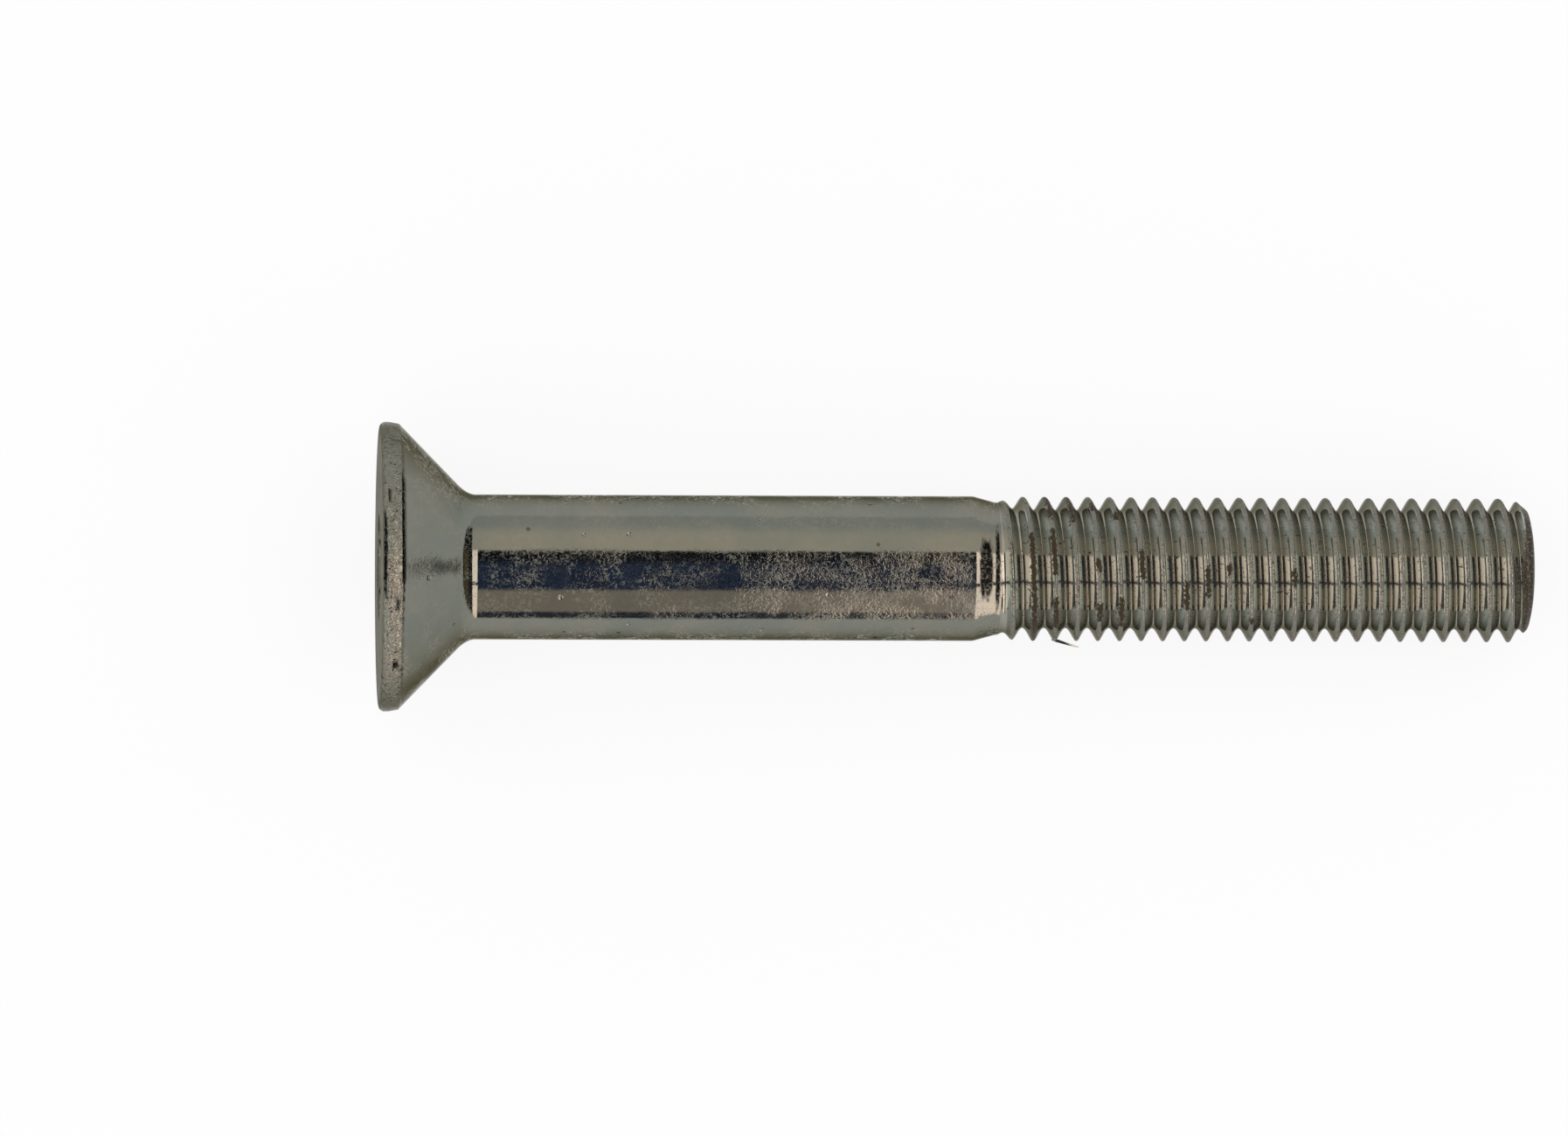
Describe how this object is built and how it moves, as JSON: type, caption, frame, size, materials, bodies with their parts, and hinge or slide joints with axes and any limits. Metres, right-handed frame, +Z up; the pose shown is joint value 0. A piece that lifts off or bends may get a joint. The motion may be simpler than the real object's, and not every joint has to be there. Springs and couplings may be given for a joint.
{
  "type": "countersunk socket screw",
  "caption": "Countersunk hexagon socket screw with a plain shank and a rolled right-hand thread, lying at rest.",
  "frame": {"origin": "on the surface that the screw lies on, under the middle of its outline", "axes": "+X runs from the head to the tip, seen from above; +Y is level and square to the screw; +Z is up. The screw's own axis dips 3.7 degrees towards the tip, because it rests on the head's rim and on the end of the thread."},
  "size_m": [0.0806, 0.02, 0.02],
  "materials": {
    "zinc_plate": "dull zinc plate over steel, handled and slightly dirty"
  },
  "bodies": {
    "root": {"screw": "zinc_plate"}
  },
  "joints": []
}
